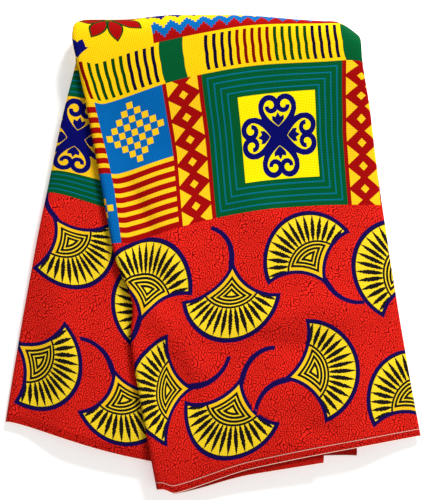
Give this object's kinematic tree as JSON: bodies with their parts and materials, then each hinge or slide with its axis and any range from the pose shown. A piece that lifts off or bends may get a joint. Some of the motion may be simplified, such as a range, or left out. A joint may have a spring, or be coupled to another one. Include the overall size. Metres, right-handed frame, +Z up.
{
  "type": "folded kente cloth",
  "caption": "Printed kente-pattern cotton cloth, pleated back and forth and folded over once, lying flat with its plies fanned out, for display, dress or table use.",
  "frame": {"origin": "on the table, under the middle of the folded cloth's box", "axes": "+X to the right across the plies, +Y from the selvedges to the round fold, +Z up"},
  "size_m": [0.5068, 0.594, 0.0502],
  "materials": {
    "printed_cotton": "matte printed cotton canvas"
  },
  "bodies": {
    "root": {"cloth": "printed_cotton"}
  },
  "joints": []
}
